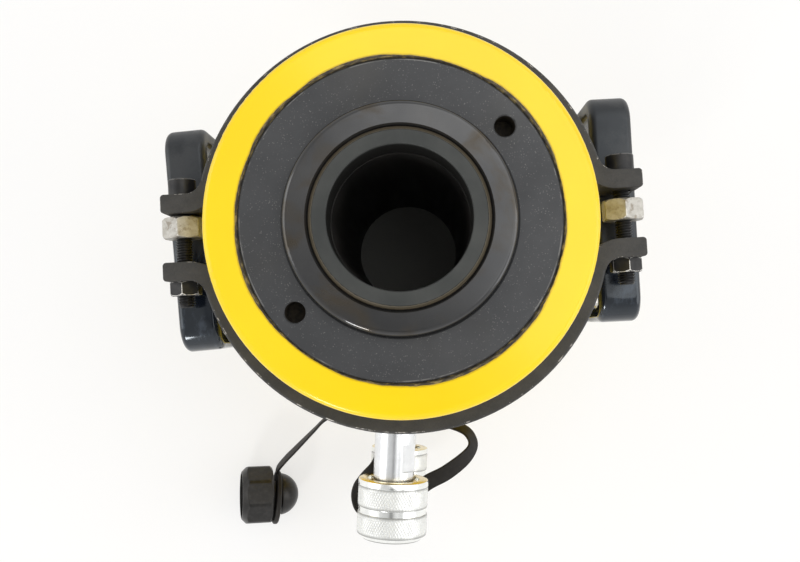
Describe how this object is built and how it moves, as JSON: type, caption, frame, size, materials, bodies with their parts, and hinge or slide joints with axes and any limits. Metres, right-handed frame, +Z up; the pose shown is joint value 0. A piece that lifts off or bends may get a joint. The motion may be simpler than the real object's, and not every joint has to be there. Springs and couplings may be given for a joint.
{
  "type": "hollow plunger cylinder",
  "caption": "Double-acting hydraulic cylinder with a hollow plunger, side handles on a clamp band, oil couplers and a tethered dust cap.",
  "frame": {"origin": "centre of the through hole, in the plane of the base", "axes": "+Z up along the hole, towards the saddle; the couplers point along -Y"},
  "size_m": [0.2925, 0.333, 0.254],
  "materials": {
    "yellow_enamel": "gloss enamel, chipped at the inner edge",
    "tube_steel": "oiled dark steel",
    "plunger_steel": "polished dark steel",
    "saddle_steel": "matt dark steel",
    "gland_steel": "satin black oxide",
    "band_steel": "matt dark, worn bright at the edges",
    "bolt_steel": "black oxide",
    "nut_steel": "black oxide, worn bright at the corners",
    "spacer_zinc": "dull cream zinc plate",
    "handle_enamel": "gloss black enamel",
    "neck_zinc": "bright zinc plate",
    "collar_zinc": "bright zinc plate, knurled",
    "clip_yellow_zinc": "yellow zinc plate",
    "poppet_steel": "ground steel",
    "spring_steel": "drawn wire",
    "bearing_bronze": "bronze-filled",
    "seal_rubber": "matt",
    "strap_plastic": "satin",
    "cap_plastic": "satin moulded"
  },
  "bodies": {
    "barrel": {"cylinder_body": "yellow_enamel", "center_tube": "tube_steel", "tube_retainer": "tube_steel", "tube_o_ring": "seal_rubber", "gland_nut": "gland_steel", "gland_o_ring": "seal_rubber", "rod_seal": "seal_rubber", "gland_bearing": "bearing_bronze", "wiper_ring": "seal_rubber", "clamp_half_rear": "band_steel", "clamp_half_front": "band_steel", "clamp_bolts": "bolt_steel", "clamp_nuts": "nut_steel", "spacer_nuts": "spacer_zinc", "handle_left": "handle_enamel", "handle_right": "handle_enamel", "handle_screws": "bolt_steel", "upper_coupler_body": "neck_zinc", "upper_coupler_clip": "clip_yellow_zinc", "upper_poppet_spring": "spring_steel", "lower_coupler_body": "neck_zinc", "lower_coupler_clip": "clip_yellow_zinc", "lower_poppet_spring": "spring_steel", "strap_loop": "strap_plastic", "cap_strap": "strap_plastic", "cap_loop": "strap_plastic", "dust_cap": "cap_plastic"},
    "plunger": {"plunger": "plunger_steel", "piston_head": "plunger_steel", "saddle_insert": "saddle_steel", "piston_seal": "seal_rubber", "piston_bearing": "bearing_bronze", "inner_seal": "seal_rubber", "inner_bearing": "bearing_bronze"},
    "upper_collar": {"upper_coupler_collar": "collar_zinc"},
    "lower_collar": {"lower_coupler_collar": "collar_zinc"},
    "upper_valve": {"upper_poppet": "poppet_steel"},
    "lower_valve": {"lower_poppet": "poppet_steel"}
  },
  "joints": [
    {"name": "plunger_slide", "type": "slide", "parent": "barrel", "child": "plunger", "axis": [0, 0, 1], "range_m": [0, 0.076]},
    {"name": "upper_collar_spin", "type": "hinge", "parent": "barrel", "child": "upper_collar", "pos_m": [0, -0.167, 0.169], "axis": [0, -1, 0], "continuous": true},
    {"name": "lower_collar_spin", "type": "hinge", "parent": "barrel", "child": "lower_collar", "pos_m": [0, -0.167, 0.038], "axis": [0, -1, 0], "continuous": true},
    {"name": "upper_poppet_push", "type": "slide", "parent": "barrel", "child": "upper_valve", "axis": [0, 1, 0], "range_m": [0, 0.003], "stiffness_N_per_m": 800, "springref_m": -0.003, "deforming": ["upper_poppet_spring"]},
    {"name": "lower_poppet_push", "type": "slide", "parent": "barrel", "child": "lower_valve", "axis": [0, 1, 0], "range_m": [0, 0.003], "stiffness_N_per_m": 800, "springref_m": -0.003, "deforming": ["lower_poppet_spring"]}
  ]
}
